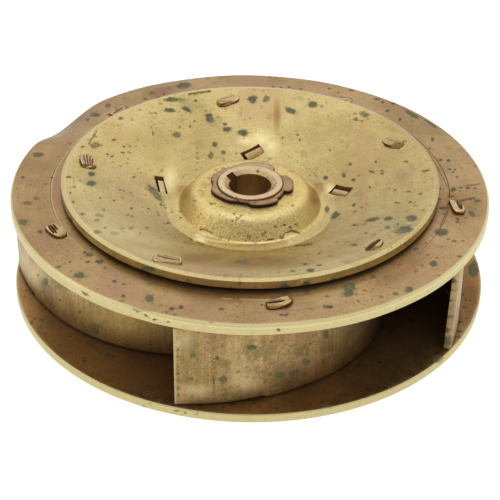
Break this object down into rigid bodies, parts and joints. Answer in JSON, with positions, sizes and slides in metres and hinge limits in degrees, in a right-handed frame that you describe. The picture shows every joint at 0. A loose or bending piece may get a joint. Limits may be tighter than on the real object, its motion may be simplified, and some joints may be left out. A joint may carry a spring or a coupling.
{
  "type": "closed centrifugal impeller",
  "caption": "Closed centrifugal impeller in tarnished brass plate: curved vanes staked between two shrouds, a dished hub plate and a keyed bronze hub.",
  "frame": {"origin": "middle of the underside of the lower shroud, on the axis of rotation", "axes": "+Z along the axis of rotation, from the lower shroud towards the dished hub plate; -Y faces the camera"},
  "size_m": [0.1808, 0.1808, 0.0459],
  "materials": {
    "lower_shroud_brass": "dull tarnished brass",
    "upper_shroud_brass": "dull tarnished brass with a bright worn edge",
    "hub_plate_brass": "satin yellow brass with corrosion spots",
    "vane_brass": "rough mottled brass",
    "sleeve_bronze": "machined bronze",
    "collar_bronze": "hammered bronze"
  },
  "bodies": {
    "root": {"lower_shroud": "lower_shroud_brass", "upper_shroud": "upper_shroud_brass", "hub_plate": "hub_plate_brass", "vane_1": "vane_brass", "vane_2": "vane_brass", "vane_3": "vane_brass", "vane_4": "vane_brass", "vane_5": "vane_brass", "hub_sleeve": "sleeve_bronze", "hub_collar": "collar_bronze"}
  },
  "joints": []
}
